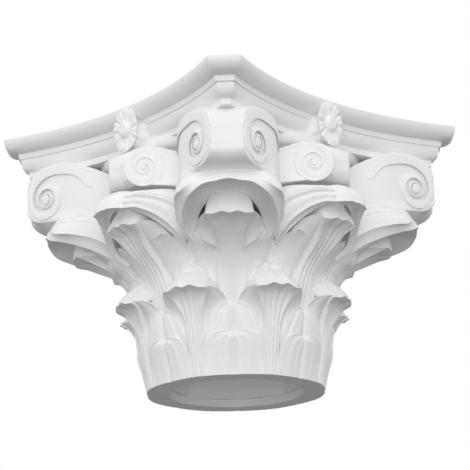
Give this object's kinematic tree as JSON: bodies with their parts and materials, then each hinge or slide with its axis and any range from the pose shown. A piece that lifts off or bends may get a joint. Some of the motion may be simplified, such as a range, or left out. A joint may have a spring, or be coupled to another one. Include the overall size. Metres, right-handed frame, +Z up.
{
  "type": "corinthian capital",
  "caption": "Moulded Corinthian column capital with bending acanthus leaves, corner and side scrolls, and a concave abacus over a hollow core.",
  "frame": {"origin": "centre of the ring at the foot, on its underside", "axes": "+Z up along the axis of the column; the four sides of the abacus face +X, +Y, -X and -Y, and its cut corners lie on the diagonals"},
  "size_m": [0.5396, 0.5396, 0.415],
  "materials": {
    "white_primer": "matt white primer on moulded hard foam"
  },
  "bodies": {
    "root": {"capital": "white_primer"}
  },
  "joints": []
}
